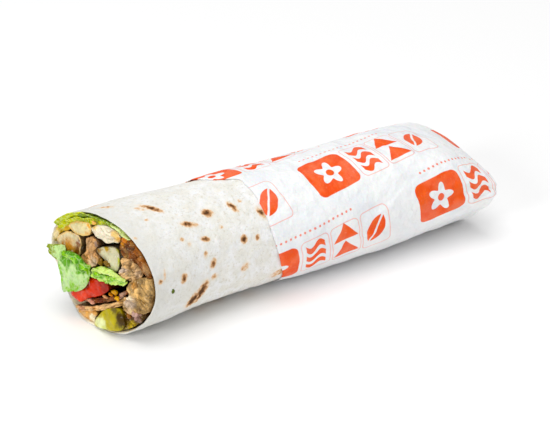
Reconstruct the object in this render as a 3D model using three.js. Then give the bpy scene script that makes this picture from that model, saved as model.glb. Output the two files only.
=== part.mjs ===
// A durum wrap: a thin flatbread rolled round meat, potato, salad and pickle, cut open at one end
// and held in a printed paper sleeve that is folded shut at the other. Millimetres, +Z up.
// The roll lies along +X with its open end at the low X side, and rests on a flattened strip.
import * as THREE from 'three';

// ---- Driving dimensions ----

const LENGTH = 180; // from the middle of the open end to the crease of the folded end

// Sections of the roll from the open end to the folded end: half width, height of the widest
// line, full height, and how square the upper half is (2 is an ellipse).
const SECTIONS = [
  { x: 0, half: 30.8, waist: 25.5, top: 48.8, square: 2 },
  { x: 30, half: 28, waist: 25.3, top: 50.3, square: 2 },
  { x: 60, half: 27, waist: 24.8, top: 50, square: 2 },
  { x: 90, half: 27, waist: 24.3, top: 48.6, square: 2 },
  { x: 120, half: 27.5, waist: 24, top: 47.6, square: 2.1 },
  { x: 150, half: 28.3, waist: 23.8, top: 45.6, square: 2.5 },
  { x: 168, half: 29, waist: 23.2, top: 41.2, square: 3.4 },
  { x: LENGTH, half: 29.8, waist: 22.5, top: 35, square: 5 },
];
const FLATTENED = 0.8; // how far the round underside is pressed flat

const BREAD_THICKNESS = 1.3;
const PAPER_THICKNESS = 0.5;
const GAP = 0.35; // between neighbouring pieces
const PAPER_GAP = 0.6; // between the bread and the paper
const BREAD_END = LENGTH - 3;
const FILLING_END = BREAD_END - 4;
const END_BULGE = 1.5; // of the closed ends
const END_SHRINK = 0.85; // how far the bulge's edge is drawn in

// The open end is cut slightly askew.
const CUT_YAW = THREE.MathUtils.degToRad(12.5);
const CUT_LEAN = THREE.MathUtils.degToRad(5.45);
const RIM_WAVE = 0.4;
// Where the rim stands behind the cut plane (or, if negative, ahead of it): how far, at which
// angle round the roll in degrees, and over how wide an angle.
const RIM_BUMPS = [
  { offset: 3, at: 208, spread: 29 },
  { offset: -1.6, at: 262, spread: 20 },
];

// The near edge of the paper as angle round the roll (0 faces -Y, 90 is the top) and distance
// from the open end. It runs nearly square over the front and steps forward behind the top.
const PAPER_EDGE = [
  [-34, 73.3], [-16, 70.3], [0, 68.3], [20, 66.5], [45, 65.9], [75, 65.2], [88, 63.5],
  [95, 56.5], [103, 53], [119, 51.5], [160, 52], [200, 58], [240, 68], [285, 76],
];

const ROLL_SIDES = 48;
const STRAND_SIDES = 14;
const LINING_SIDES = 22;
const STRAND_STEPS = [0.2, 0.42, 0.62, 0.82, 1]; // shares of a strand's length

// ---- The roll's surface ----

/** The section at distance x, between the two nearest entries of SECTIONS. */
function sectionAt(x) {
  const last = SECTIONS.length - 1;
  const clamped = THREE.MathUtils.clamp(x, SECTIONS[0].x, SECTIONS[last].x);
  let i = 0;
  while (i < last - 1 && SECTIONS[i + 1].x < clamped) {
    i += 1;
  }
  const from = SECTIONS[i];
  const to = SECTIONS[i + 1];
  const share = (clamped - from.x) / (to.x - from.x);
  const mix = (name) => THREE.MathUtils.lerp(from[name], to[name], share);
  return { half: mix('half'), waist: mix('waist'), top: mix('top'), square: mix('square') };
}

/** Y and Z of the roll's surface at distance x and an angle in radians, moved in by inset. */
function skin(x, angle, inset) {
  const { half, waist, top, square } = sectionAt(x);
  const across = Math.cos(angle);
  const up = Math.sin(angle);
  const power = up > 0 ? 2 / square : 1;
  const reach = up > 0 ? top - waist - inset : waist + FLATTENED - inset;
  const y = -(half - inset) * Math.sign(across) * Math.abs(across) ** power;
  const z = waist + reach * Math.sign(up) * Math.abs(up) ** power;
  return [y, Math.max(z, inset)];
}

/** Distance of the cut plane from the middle of the open end, at a place in the section. */
function cutAt(y, z) {
  return -y * Math.tan(CUT_YAW) + (z - SECTIONS[0].waist) * Math.tan(CUT_LEAN);
}

/** How far the bread's rim stands behind the cut plane at an angle in radians. */
function rimOffset(angle) {
  const degrees = THREE.MathUtils.radToDeg(angle);
  const bump = ({ offset, at, spread }) => offset * Math.exp(-(((degrees - at) / spread) ** 2));
  const wave = RIM_WAVE * Math.sin(3 * angle + 1);
  return RIM_BUMPS.reduce((sum, entry) => sum + bump(entry), wave);
}

/** Distance of the paper's near edge at an angle in degrees. */
function paperEdgeAt(degrees) {
  const turn = 360;
  const first = PAPER_EDGE[0];
  const wrapped = first[0] + THREE.MathUtils.euclideanModulo(degrees - first[0], turn);
  const closed = [...PAPER_EDGE, [first[0] + turn, first[1]]];
  const i = closed.findIndex((entry, k) => k > 0 && entry[0] >= wrapped);
  const [a0, x0] = closed[i - 1];
  const [a1, x1] = closed[i];
  return THREE.MathUtils.lerp(x0, x1, (wrapped - a0) / (a1 - a0));
}

// ---- Mesh helpers ----

/** A closed body from rings of points: neighbours are joined, and the end rings get caps. */
function bodyOfRings(rings, capStart, capEnd) {
  const count = rings[0].length;
  const positions = rings.flat(2);
  const triangles = [];
  for (let r = 0; r + 1 < rings.length; r += 1) {
    for (let k = 0; k < count; k += 1) {
      const next = (k + 1) % count;
      const a = r * count + k;
      const b = r * count + next;
      const c = a + count;
      const d = b + count;
      triangles.push(a, c, b, b, c, d);
    }
  }
  const endBase = (rings.length - 1) * count;
  for (const [i, j, k] of capStart) {
    triangles.push(i, j, k);
  }
  for (const [i, j, k] of capEnd) {
    triangles.push(endBase + i, endBase + k, endBase + j);
  }
  const geometry = new THREE.BufferGeometry();
  geometry.setAttribute('position', new THREE.Float32BufferAttribute(positions, 3));
  geometry.setIndex(triangles);
  geometry.computeVertexNormals();
  return geometry;
}

/** A cap of strips across a ring whose points k and count - k lie opposite each other. */
function stripCap(count) {
  const triangles = [];
  for (let k = 0; k < count / 2; k += 1) {
    const low = (count - k) % count;
    const lowNext = count - k - 1;
    if (k > 0) {
      triangles.push([k, k + 1, low]);
    }
    if (lowNext !== k + 1) {
      triangles.push([k + 1, lowNext, low]);
    }
  }
  return triangles;
}

function meshOf(name, geometry, colour, roughness) {
  const material = new THREE.MeshStandardMaterial({ color: colour, roughness, metalness: 0 });
  const mesh = new THREE.Mesh(geometry, material);
  mesh.name = name;
  return mesh;
}

/** A tube closed at its far end: out along the outer rings, back along the inner ones. */
function sleeve(outerRings, innerRings) {
  const count = outerRings[0].length;
  const rings = [...innerRings].reverse().concat(outerRings);
  return bodyOfRings(rings, stripCap(count), stripCap(count));
}

/** Shares from 0 to 1 that crowd towards the far end, where the roll changes shape fastest. */
function alongShares(steps) {
  return Array.from({ length: steps + 1 }, (_, i) => Math.sin(((i / steps) * Math.PI) / 2) ** 0.9);
}

// ---- Flatbread ----

/** The bread lies on the floor at the open end and gives way to the paper further in. */
function breadInset(x) {
  const underPaper = PAPER_THICKNESS + PAPER_GAP;
  return underPaper * THREE.MathUtils.smoothstep(x, 18, 42);
}

function ringAngles(sides) {
  return Array.from({ length: sides }, (_, k) => (k / sides) * Math.PI * 2);
}

/** The last ring of a closed end at x, drawn in and bulging out. */
function endRing(x, inset, wall) {
  const middle = SECTIONS.at(-1).waist;
  return ringAngles(ROLL_SIDES).map((angle) => {
    const [y, z] = skin(x, angle, inset + wall);
    return [x + END_BULGE - wall, y * END_SHRINK, middle + (z - middle) * END_SHRINK];
  });
}

function makeBread() {
  const angles = ringAngles(ROLL_SIDES);
  const steps = 11;
  const ringAt = (share, wall) =>
    angles.map((angle) => {
      const [yRim, zRim] = skin(0, angle, wall);
      const start = cutAt(yRim, zRim) + rimOffset(angle);
      const x = THREE.MathUtils.lerp(start, BREAD_END - wall, share);
      const [y, z] = skin(x, angle, breadInset(x) + wall);
      return [x, y, z];
    });
  const shares = alongShares(steps);
  const outer = shares.map((share) => ringAt(share, 0));
  const inner = shares.map((share) => ringAt(share, BREAD_THICKNESS));
  const inset = breadInset(BREAD_END);
  outer.push(endRing(BREAD_END, inset, 0));
  inner.push(endRing(BREAD_END, inset, BREAD_THICKNESS));
  return meshOf('flatbread', sleeve(outer, inner), 0xf1e8d3, 0.85);
}

// ---- Paper sleeve ----

function makePaper() {
  const angles = ringAngles(ROLL_SIDES);
  const steps = 8;
  const ringAt = (share, wall) =>
    angles.map((angle) => {
      const start = paperEdgeAt(THREE.MathUtils.radToDeg(angle));
      const x = THREE.MathUtils.lerp(start, LENGTH - wall, share);
      const [y, z] = skin(x, angle, wall);
      return [x, y, z];
    });
  const shares = alongShares(steps);
  const outer = shares.map((share) => ringAt(share, 0));
  const inner = shares.map((share) => ringAt(share, PAPER_THICKNESS));
  outer.push(endRing(LENGTH, 0, 0));
  inner.push(endRing(LENGTH, 0, PAPER_THICKNESS));
  return meshOf('paper_sleeve', sleeve(outer, inner), 0xf4f4f6, 0.6);
}

// ---- Fillings ----
// Each filling that shows at the cut runs the length of the roll as a strand. Its outline at the
// cut is given in the open end's own section, and shrinks with the roll along the way.

const WALL = BREAD_THICKNESS + GAP;
const LINING_GAP = 0.15; // more, where a flat facet of the bread cuts inside its curve

/** Half width, waist and height above it of the room inside the bread. */
function roomAt(x) {
  const { half, waist, top } = sectionAt(x);
  const inset = breadInset(x) + WALL;
  return { half: half - inset, waist, up: top - waist - inset, down: waist - inset };
}

const ROOM_AT_CUT = roomAt(0);

/** Carries a place in the open end's section to the same place in the section at x. */
function carry(x, y, z) {
  const from = ROOM_AT_CUT;
  const to = roomAt(x);
  const rise = z - from.waist;
  const scale = rise > 0 ? to.up / from.up : to.down / from.down;
  return [(y * to.half) / from.half, to.waist + rise * scale];
}

/** Outline of a chunk or strip: an ellipse-like shape at (y, z), turned, bent and tapered. */
function chunkOutline({ y, z, long, thick, turn = 0, bend = 0, taper = 0, square = 2.4 }) {
  const angle = THREE.MathUtils.degToRad(turn);
  return ringAngles(STRAND_SIDES).map((t) => {
    const round = (value) => Math.sign(value) * Math.abs(value) ** (2 / square);
    const share = round(Math.cos(t));
    const along = (long / 2) * share;
    const half = (thick / 2) * (1 + taper * share);
    const across = bend * (1 - share * share) - half * round(Math.sin(t));
    return [
      y + along * Math.cos(angle) - across * Math.sin(angle),
      z + along * Math.sin(angle) + across * Math.cos(angle),
    ];
  });
}

/** Outline of a leaf or slice that lines the bread's inside between two angles. */
function liningOutline({ from, to, thick, taper = 0 }) {
  const room = ROOM_AT_CUT;
  return ringAngles(LINING_SIDES).map((t) => {
    const share = Math.cos(t);
    const angle = THREE.MathUtils.degToRad(THREE.MathUtils.lerp(to, from, (share + 1) / 2));
    const depth = thick * Math.max(0, -Math.sin(t)) * (1 + taper * share);
    const inset = LINING_GAP + depth;
    const rise = Math.sin(angle);
    const reach = rise > 0 ? room.up : room.down;
    return [-(room.half - inset) * Math.cos(angle), room.waist + (reach - inset) * rise];
  });
}

/** A strand: its front face follows the cut, moved out by stickOut, with a rounded edge. Outside
 *  the cut it may lean over and spread to flare times its width and height. */
function makeStrand({ name, outline, stickOut = 0, lean = [0, 0], flare = [1, 1], colour }) {
  const count = outline.length;
  const centre = [0, 1].map((i) => outline.reduce((sum, point) => sum + point[i], 0) / count);
  const roundness = 1.2;
  const ringAt = (x, grow, outside) =>
    outline.map((point) => {
      const place = cutAt(...point) - stickOut + x;
      const [y, z] = point.map((value, i) => {
        const spread = grow * THREE.MathUtils.lerp(1, flare[i], outside);
        return centre[i] + (value - centre[i]) * spread + lean[i] * outside;
      });
      return [Math.min(place, FILLING_END), ...carry(place, y, z)];
    });
  const rings = [ringAt(0, 0.8, 1), ringAt(roundness, 1, 1)];
  if (stickOut > 2 * roundness) {
    rings.push(ringAt(stickOut - roundness, 1, 0.5), ringAt(stickOut, 1, 0));
  }
  const reach = FILLING_END + stickOut + 12;
  for (const share of STRAND_STEPS) {
    rings.push(ringAt(reach * share, 1, 0));
  }
  const cap = stripCap(count);
  return meshOf(name, bodyOfRings(rings, cap, cap), colour, FILLING_ROUGHNESS);
}

const FILLING_ROUGHNESS = 0.55;
const GREEN = 0x86b93c;
const POTATO = 0xe6d6a6;
const PALE_POTATO = 0xd9d3c0;
const CREAM = 0xf3e6c8;
const MEAT = 0xa9714c;
const PALE_MEAT = 0xb98a6c;
const DARK_MEAT = 0x7a4f36;
const GOLDEN_MEAT = 0xb98443;

const FILLINGS = [
  {
    name: 'lettuce_top',
    colour: GREEN,
    lining: { from: 57, to: 151, thick: 2.7, taper: -0.45 },
  },
  {
    name: 'potato_far_left',
    colour: POTATO,
    chunk: { y: 23.5, z: 34.1, long: 8.4, thick: 2.3, turn: 141 },
  },
  {
    name: 'potato_top',
    colour: POTATO,
    chunk: { y: 13.4, z: 38.2, long: 12.4, thick: 5, turn: 161 },
  },
  {
    name: 'potato_left',
    colour: PALE_POTATO,
    chunk: { y: 18.7, z: 29.9, long: 12.4, thick: 8, turn: 165, square: 2.8 },
  },
  {
    name: 'chicken_top',
    colour: CREAM,
    stickOut: 0.6,
    chunk: { y: -2.4, z: 40.9, long: 16, thick: 5.1, turn: 170 },
  },
  {
    name: 'meat_centre',
    colour: PALE_MEAT,
    stickOut: 0.8,
    chunk: { y: 6.5, z: 30.9, long: 13.6, thick: 6.8, turn: 104, bend: -0.5 },
  },
  {
    name: 'potato_centre',
    colour: PALE_POTATO,
    chunk: { y: -4.5, z: 32.7, long: 11.8, thick: 9.6, turn: 175, square: 2.8 },
  },
  {
    name: 'meat_upper_right',
    colour: MEAT,
    stickOut: 0.8,
    chunk: { y: -18.3, z: 37.1, long: 15.4, thick: 5.8, turn: 205, bend: -1 },
  },
  {
    name: 'meat_middle_right',
    colour: PALE_MEAT,
    stickOut: 0.4,
    chunk: { y: -16.8, z: 30.3, long: 10.4, thick: 5.8, turn: 190, taper: -0.2 },
  },
  {
    name: 'meat_lower_right',
    colour: GOLDEN_MEAT,
    stickOut: 1.2,
    chunk: { y: -22.7, z: 20.6, long: 16.4, thick: 10.4, turn: 113, square: 2.6 },
  },
  {
    name: 'lettuce_left',
    colour: GREEN,
    stickOut: 4.5,
    lean: [1.5, -1],
    flare: [1.3, 1.9],
    chunk: { y: 15.8, z: 20, long: 17.4, thick: 6, turn: 160, bend: 0.6 },
  },
  {
    name: 'lettuce_middle',
    colour: GREEN,
    stickOut: 1,
    chunk: { y: -4, z: 24.3, long: 16.8, thick: 4.2, turn: 168, bend: 0.3 },
  },
  {
    name: 'tomato',
    colour: 0xd8401c,
    stickOut: 1.4,
    chunk: { y: 5.2, z: 15.2, long: 20, thick: 5.8, turn: 152, taper: 0.25 },
  },
  {
    name: 'meat_slice_upper',
    colour: DARK_MEAT,
    chunk: { y: -4, z: 14.3, long: 22.6, thick: 1.8, turn: 151, bend: 1.2 },
  },
  {
    name: 'meat_slice_lower',
    colour: PALE_MEAT,
    stickOut: 0.4,
    chunk: { y: -2.2, z: 10.8, long: 25.6, thick: 1.9, turn: 153, bend: 1.2 },
  },
  {
    name: 'onion_bottom',
    colour: 0xe3b57a,
    chunk: { y: 5.4, z: 3.8, long: 8, thick: 2.6, turn: 161 },
  },
  {
    name: 'pickle',
    colour: 0xa7a12c,
    stickOut: 2,
    chunk: { y: -7.8, z: 6, long: 13, thick: 6.2, turn: 154, taper: -0.1 },
  },
  {
    name: 'meat_bottom_right',
    colour: DARK_MEAT,
    lining: { from: -60, to: -36, thick: 2.6 },
  },
];

function makeFilling({ lining, chunk, ...rest }) {
  const outline = lining ? liningOutline(lining) : chunkOutline(chunk);
  return makeStrand({ outline, ...rest });
}

// ---- Assembly ----

const wrap = new THREE.Group();
wrap.add(makeBread(), makePaper(), ...FILLINGS.map(makeFilling));

// The origin is under the middle of the whole.
const group = new THREE.Group();
const middle = new THREE.Box3().setFromObject(wrap).getCenter(new THREE.Vector3());
wrap.position.set(-middle.x, -middle.y, 0);
group.add(wrap);

export default group;
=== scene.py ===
"""The looks of a durum wrap: rolled flatbread with its filling, in a printed paper sleeve.

Shapes are worked out in millimetres in the roll's own frame, where X runs from the middle of the
open end along the roll, Y = 0 is its middle and Z = 0 is what it lies on. `place` moves them into
the row frame. Angles round the roll start at its near side (-Y) and go up over the top.
"""

import itertools
import math
from collections.abc import Callable
from dataclasses import dataclass

import bpy
import numpy as np
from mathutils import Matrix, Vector


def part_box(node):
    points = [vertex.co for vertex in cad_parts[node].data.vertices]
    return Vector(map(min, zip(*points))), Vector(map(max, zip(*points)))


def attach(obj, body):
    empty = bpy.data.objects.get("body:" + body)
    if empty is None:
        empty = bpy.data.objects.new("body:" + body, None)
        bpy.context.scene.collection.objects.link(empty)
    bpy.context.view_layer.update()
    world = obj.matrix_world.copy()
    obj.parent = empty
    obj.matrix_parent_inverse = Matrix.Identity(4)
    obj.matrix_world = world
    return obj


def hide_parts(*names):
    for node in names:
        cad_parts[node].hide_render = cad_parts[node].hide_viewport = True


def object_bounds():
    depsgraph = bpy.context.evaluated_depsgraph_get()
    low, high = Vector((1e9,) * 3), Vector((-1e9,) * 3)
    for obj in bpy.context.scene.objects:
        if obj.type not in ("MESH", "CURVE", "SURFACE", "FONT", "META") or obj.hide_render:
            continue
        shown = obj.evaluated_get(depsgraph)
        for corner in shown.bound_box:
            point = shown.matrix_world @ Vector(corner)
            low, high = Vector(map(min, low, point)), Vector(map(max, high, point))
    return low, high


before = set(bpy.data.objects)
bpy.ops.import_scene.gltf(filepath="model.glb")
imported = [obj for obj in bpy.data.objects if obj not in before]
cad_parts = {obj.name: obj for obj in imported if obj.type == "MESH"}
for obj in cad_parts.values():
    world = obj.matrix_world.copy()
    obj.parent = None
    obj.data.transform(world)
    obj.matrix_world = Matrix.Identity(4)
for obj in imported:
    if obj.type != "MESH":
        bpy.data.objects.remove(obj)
cad_box = [list(corner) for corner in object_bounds()]

# ---- The roll's dimensions, in millimetres, as in the CAD ----

MM = 0.001
LENGTH = 180  # from the open end to the crease at the closed end
END_BULGE = 1.5  # how far the closed end stands out beyond it
# Sections: distance, half width, height of the widest line, full height, squareness of the top.
SECTIONS = np.array([
    (0, 30.8, 25.5, 48.8, 2.0),
    (30, 28.0, 25.3, 50.3, 2.0),
    (60, 27.0, 24.8, 50.0, 2.0),
    (90, 27.0, 24.3, 48.6, 2.0),
    (120, 27.5, 24.0, 47.6, 2.1),
    (150, 28.3, 23.8, 45.6, 2.5),
    (168, 29.0, 23.2, 41.2, 3.4),
    (LENGTH, 29.8, 22.5, 35.0, 5.0),
])
FLATTENED = 0.8  # how far the round underside is pressed flat
BREAD_THICKNESS = 1.3
RIM_ROUND = 0.35  # how round the bread's rim is
PAPER_THICKNESS = 0.3
UNDER_PAPER = 1.1  # how far the bread lies inside the paper's outer face
BREAD_END = 177  # distance of the bread's closed end
FILLING_END = 173  # and of the fillings' far ends
RADIUS, BREAD_RADIUS = 27, 26  # where an angle is turned into a distance round the roll
WALL = BREAD_THICKNESS + 0.35  # the bread and a little play between it and the filling
CUT_YAW = math.tan(math.radians(12.5))  # how the cut's plane is turned from square,
CUT_LEAN = math.tan(math.radians(5.45))  # and how it leans back
PINCH_ABOVE, PINCH_BELOW = 4.4, 4.8  # how far the closed end's near edge is pinched flatter
RIM_BUMPS = ((3.0, 208, 29), (-1.6, 262, 20), (1.0, -14, 26))  # setback, at which angle, spread
# The paper's near edge: angle round the roll and distance from the open end.
PAPER_EDGE = np.array([
    (-75, 76.0), (-34, 73.3), (-16, 70.3), (0, 68.3), (20, 66.5), (45, 65.9), (75, 65.2), (88, 63.5),
    (95, 56.5), (103, 53.0), (119, 51.5), (160, 52.0), (200, 58.0), (240, 68.0), (285, 76.0),
])

paper_low, paper_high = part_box("paper_sleeve")
middle_y = (paper_low.y + paper_high.y) / 2
SHIFT = np.array([paper_high.x / MM - LENGTH - END_BULGE, middle_y / MM, 0.0])
BOX = np.array(cad_box) / MM - SHIFT
BOX_MARGIN = 0.8  # how near to the CAD's box the looks are pressed in

# ---- Camera ----

CAMERA_AT = (-380.57, -701.89, 461.99)
LOOKS_AT = (84.0, 0.0, 23.83)
LENS = 147.5


def place(points):
    """Points of the roll's own frame, in metres in the row frame."""
    return (np.asarray(points, float) + SHIFT) * MM


def held(points):
    """Places pressed softly inwards where they come near the sides of the CAD's box."""
    over = np.maximum(points - BOX[1] + BOX_MARGIN, 0)
    under = np.maximum(BOX[0] + BOX_MARGIN - points, 0) * (1, 1, 0)
    kept = BOX_MARGIN * (np.tanh(over / BOX_MARGIN) - np.tanh(under / BOX_MARGIN))
    return points - over + under + kept


def make_camera():
    camera = bpy.data.objects.new("camera", bpy.data.cameras.new("camera"))
    bpy.context.scene.collection.objects.link(camera)
    camera.data.lens = LENS
    camera.data.sensor_width = 36
    at, target = Vector(place(CAMERA_AT)), Vector(place(LOOKS_AT))
    camera.location = at
    camera.rotation_euler = (target - at).to_track_quat("-Z", "Y").to_euler()
    camera.data.clip_start, camera.data.clip_end = 0.05, 20
    bpy.context.scene.camera = camera


# ---- Noise ----


def hashed(cells, seed):
    """A number from -1 to 1 for each whole-number cell."""
    primes = np.array([374761393, 668265263, 1274126177], np.int64)
    n = ((cells * primes).sum(-1) + seed * 974711) & 0xFFFFFFFF
    n = ((n ^ (n >> 13)) * 1103515245) & 0xFFFFFFFF
    n = ((n ^ (n >> 15)) * 668265261) & 0xFFFFFFFF
    return ((n >> 8) & 0xFFFF) / 32767.5 - 1


def noise(points, size, seed=0):
    """Smooth lumps about size across, from about -1 to 1. size may differ by axis."""
    p = np.asarray(points, float) / size
    cell = np.floor(p).astype(np.int64)
    inside = p - cell
    ease = inside**3 * (inside * (inside * 6 - 15) + 10)
    total = np.zeros(p.shape[:-1])
    for corner in itertools.product((0, 1), repeat=3):
        corner = np.array(corner)
        slopes = np.stack([hashed(cell + corner, seed * 3 + k) for k in range(3)], -1)
        weight = np.where(corner, ease, 1 - ease).prod(-1)
        total += weight * (slopes * (inside - corner)).sum(-1)
    return total * 1.5


def fractal(points, size, seed=0, octaves=3, gain=0.5):
    """Noise with finer and finer detail added."""
    size = np.asarray(size, float)
    total = 0
    for k in range(octaves):
        total = total + gain**k * noise(points, size / 2**k, seed + 11 * k)
    return total


def nearest_squared(points, size, seed):
    """Squared distance, in cells, to the nearest of one random seed point for each cell."""
    p = np.asarray(points, float) / size
    cell = np.floor(p).astype(np.int64)
    best = np.full(p.shape[:-1], 9.0)
    for corner in itertools.product((-1, 0, 1), repeat=3):
        near = cell + np.array(corner)
        jitter = np.stack([hashed(near, seed * 3 + k) for k in range(3)], -1)
        best = np.minimum(best, ((near + 0.5 + 0.45 * jitter - p) ** 2).sum(-1))
    return best


def facets(points, size, seed):
    """Flat facets that meet in creases, as on crumpled paper, from about -0.5 to 0.5."""
    return nearest_squared(points, size, seed) - nearest_squared(points, size, seed + 5)


def smoothstep(low, high, value):
    t = np.clip((value - low) / (high - low), 0, 1)
    return t * t * (3 - 2 * t)


# ---- The roll's surface ----


def smooth_between(x, at, values):
    """A smooth curve through values, which are given at the places at."""
    slopes = np.gradient(values, at)
    x = np.clip(x, at[0], at[-1])
    i = np.clip(np.searchsorted(at, x, side="right") - 1, 0, len(at) - 2)
    step = at[i + 1] - at[i]
    t = (x - at[i]) / step
    rise = values[i + 1] - values[i]
    start = slopes[i] * step
    end = slopes[i + 1] * step
    bend = (1 - t) * (start - rise) + t * (rise - end)
    return values[i] + t * rise + t * (1 - t) * bend


def section_at(x):
    """Half width, height of the widest line, full height and squareness of the top."""
    return [smooth_between(x, SECTIONS[:, 0], SECTIONS[:, k]) for k in (1, 2, 3, 4)]


def skin(x, angle, inset=0.0):
    """Points of the roll's surface at distance x and angle round it, moved in by inset."""
    x, angle, inset = np.broadcast_arrays(x, angle, inset)
    half, waist, top, square = section_at(x)
    across, up = np.cos(angle), np.sin(angle)
    power = np.where(up > 0, 2 / square, 1.0)
    reach = np.where(up > 0, top - waist - inset, waist + FLATTENED - inset)
    y = -(half - inset) * np.sign(across) * np.abs(across) ** power
    z = waist + reach * np.sign(up) * np.abs(up) ** power
    z = np.maximum(z, np.maximum(inset, 0))
    return np.stack([x, y, pinched(x, y, z)], -1)


def pinched(x, y, z):
    """Heights after the closed end's near edge is pinched flatter, from above and below."""
    half, waist, top, _ = section_at(x)
    near = -y / half
    high = (z - waist) / np.where(z > waist, top - waist, waist)
    above = smoothstep(152, LENGTH, x) * (0.5 + PINCH_ABOVE * smoothstep(-0.35, 0.9, near))
    below = smoothstep(120, LENGTH, x) * PINCH_BELOW * smoothstep(0, 0.85, near)
    return z - above * smoothstep(-0.15, 0.5, high) + below * smoothstep(0.1, -0.65, high)


def cut_at(y, z):
    """Distance of the cut plane from the middle of the open end."""
    return -y * CUT_YAW + (z - SECTIONS[0, 2]) * CUT_LEAN


def rim_at(angle):
    """Distance of the bread's rim at an angle."""
    _, y, z = np.moveaxis(skin(np.zeros_like(angle), angle), -1, 0)
    bumps = 0
    for rise, at, spread in RIM_BUMPS:
        away = (np.degrees(angle) - at + 180) % 360 - 180
        bumps = bumps + rise * np.exp(-((away / spread) ** 2))
    return cut_at(y, z) + 0.4 * np.sin(3 * angle + 1) + bumps


def paper_edge_at(angle):
    """Distance of the paper's near edge at an angle."""
    degrees = (np.degrees(angle) + 75) % 360 - 75
    return smooth_between(degrees, PAPER_EDGE[:, 0], PAPER_EDGE[:, 1])


def bread_inset(x):
    """How far the bread's outer face lies inside the roll's surface."""
    return UNDER_PAPER * smoothstep(18, 42, x)


def room_at(x):
    """Half width, waist and height above and below it of the room inside the bread."""
    half, waist, top, _ = section_at(x)
    inset = bread_inset(x) + WALL
    return half - inset, waist, top - waist - inset, waist - inset


def carry(x, y, z):
    """Moves places in the open end's section to the same places in the section at x."""
    half0, waist0, up0, down0 = room_at(np.zeros(1))
    half, waist, up, down = room_at(x)
    rise = z - waist0
    scale = np.where(rise > 0, up / up0, down / down0)
    y, z = y * half / half0, waist + rise * scale
    return np.stack([x, y, pinched(x, y, z)], -1)


# ---- Colours ----


def colour(code):
    """Linear red, green and blue of a colour written as 0xRRGGBB."""
    parts = np.array([code >> 16, code >> 8 & 255, code & 255]) / 255
    return np.where(parts <= 0.04045, parts / 12.92, ((parts + 0.055) / 1.055) ** 2.4)


def blend(base, over, share):
    share = np.asarray(share)[..., None]
    return base * (1 - share) + over * share


# ---- Meshes ----


class Shape:
    """Closed shells gathered into one mesh, with a tint at each point."""

    def __init__(self):
        self.points, self.tints, self.faces, self.count = [], [], [], 0

    def add(self, points, quads, triangles, tints):
        """Adds one closed shell, turned so that its faces look outwards."""
        quads = np.asarray(quads, int).reshape(-1, 4)
        triangles = np.asarray(triangles, int).reshape(-1, 3)
        split = np.concatenate([quads[:, :3], quads[:, [0, 2, 3]], triangles])
        a, b, c = (points[split[:, k]] - points.mean(0) for k in range(3))
        if (np.cross(a, b) * c).sum() < 0:
            quads, triangles = quads[:, ::-1], triangles[:, ::-1]
        self.faces += (quads + self.count).tolist()
        self.faces += (triangles + self.count).tolist()
        self.points.append(points)
        self.tints.append(tints)
        self.count += len(points)

    def make(self, name, material, slot, node=None, values=None):
        """Makes the piece. values are further named numbers, one for each point."""
        mesh = bpy.data.meshes.new(name)
        mesh.from_pydata(place(held(np.concatenate(self.points))).tolist(), [], self.faces)
        mesh.polygons.foreach_set("use_smooth", [True] * len(mesh.polygons))
        tint = mesh.color_attributes.new("tint", "FLOAT_COLOR", "POINT")
        tints = np.column_stack([np.concatenate(self.tints), np.ones(self.count)])
        tint.data.foreach_set("color", tints.ravel())
        for key, numbers in (values or {}).items():
            own = mesh.attributes.new(key, "FLOAT", "POINT")
            own.data.foreach_set("value", np.asarray(numbers, np.float32))
        mesh.materials.append(material)
        mesh.update()
        piece = bpy.data.objects.new(name, mesh)
        bpy.context.scene.collection.objects.link(piece)
        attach(piece, "root")
        if node:
            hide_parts(node)
        return piece


def ring_faces(rings, count, slit):
    """Quads between neighbouring rings, and what closes the first and the last: triangles to
    the two poles that follow them, or for a slit quads straight across and its two tips."""
    k = np.arange(count)
    after = (k + 1) % count
    rows = (np.arange(rings - 1) * count)[:, None]
    quads = np.stack([rows + k, rows + after, rows + count + after, rows + count + k], -1)
    quads = quads.reshape(-1, 4)
    start, end, last = rings * count, rings * count + 1, (rings - 1) * count
    if slit:
        k = np.arange(1, count // 2 - 1)
        across = np.stack([k, count - k, count - k - 1, k + 1], -1)
        tips = np.array([[1, 0, count - 1], [count // 2 - 1, count // 2 + 1, count // 2]])
        quads = np.concatenate([quads, across, (across + last)[:, ::-1]])
        return quads, np.concatenate([tips, (tips + last)[:, ::-1]])
    first_fan = np.stack([after, k, np.full(count, start)], -1)
    last_fan = np.stack([last + k, last + after, np.full(count, end)], -1)
    return quads, np.concatenate([first_fan, last_fan])


def add_rings(shape, rings, tint=(1.0, 1.0, 1.0), slit=False):
    """Adds a shell made of closed rings. Its ends are closed with a pole in the middle, or for
    a slit straight across."""
    tint = np.broadcast_to(tint, rings.shape)
    points, tints = (values.reshape(-1, 3) for values in (rings, tint))
    if not slit:
        points = np.concatenate([points, [rings[0].mean(0), rings[-1].mean(0)]])
        tints = np.concatenate([tints, [tint[0].mean(0), tint[-1].mean(0)]])
    shape.add(points, *ring_faces(*rings.shape[:2], slit), tints)


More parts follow.
